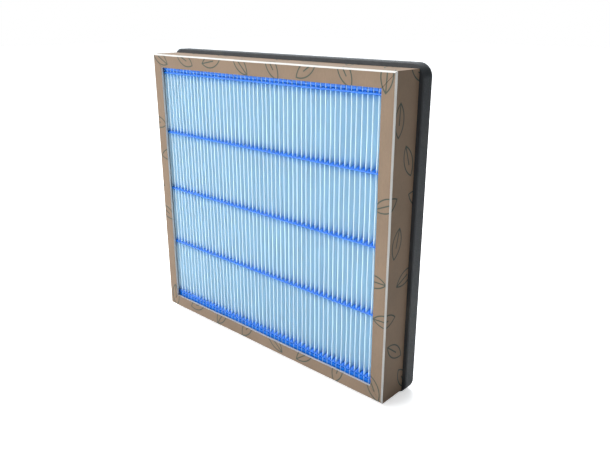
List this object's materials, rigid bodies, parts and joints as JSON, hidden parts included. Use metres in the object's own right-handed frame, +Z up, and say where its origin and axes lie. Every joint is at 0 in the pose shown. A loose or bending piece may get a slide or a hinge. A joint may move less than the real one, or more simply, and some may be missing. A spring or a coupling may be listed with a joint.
{
  "type": "pleated panel air filter",
  "caption": "Flat rectangular air filter: mitred board frame, glued mini pleat paper pack and a black moulded gasket round the rear rim.",
  "frame": {"origin": "middle of the underside of the whole filter, under the gasket and the frame", "axes": "+Z up, the inlet face looks along -Y, the gasket's seal face looks along +Y, +X to the right seen from the inlet side"},
  "size_m": [0.308, 0.044, 0.288],
  "materials": {
    "board": "kraft brown solid board with a sparse dark green line print, pale scored edges",
    "filter_paper": "matt pale blue filter paper",
    "glue": "vivid blue hot melt glue",
    "gasket_rubber": "matt black moulded rubber"
  },
  "bodies": {
    "root": {"back_bead_1": "glue", "back_bead_2": "glue", "back_bead_3": "glue", "back_bead_4": "glue", "back_bead_5": "glue", "edge_seal_bottom": "glue", "edge_seal_left": "glue", "edge_seal_right": "glue", "edge_seal_top": "glue", "frame_bottom": "board", "frame_left": "board", "frame_right": "board", "frame_top": "board", "front_bead_1": "glue", "front_bead_2": "glue", "front_bead_3": "glue", "front_bead_4": "glue", "front_bead_5": "glue", "gasket": "gasket_rubber", "media_pack": "filter_paper"}
  },
  "joints": []
}
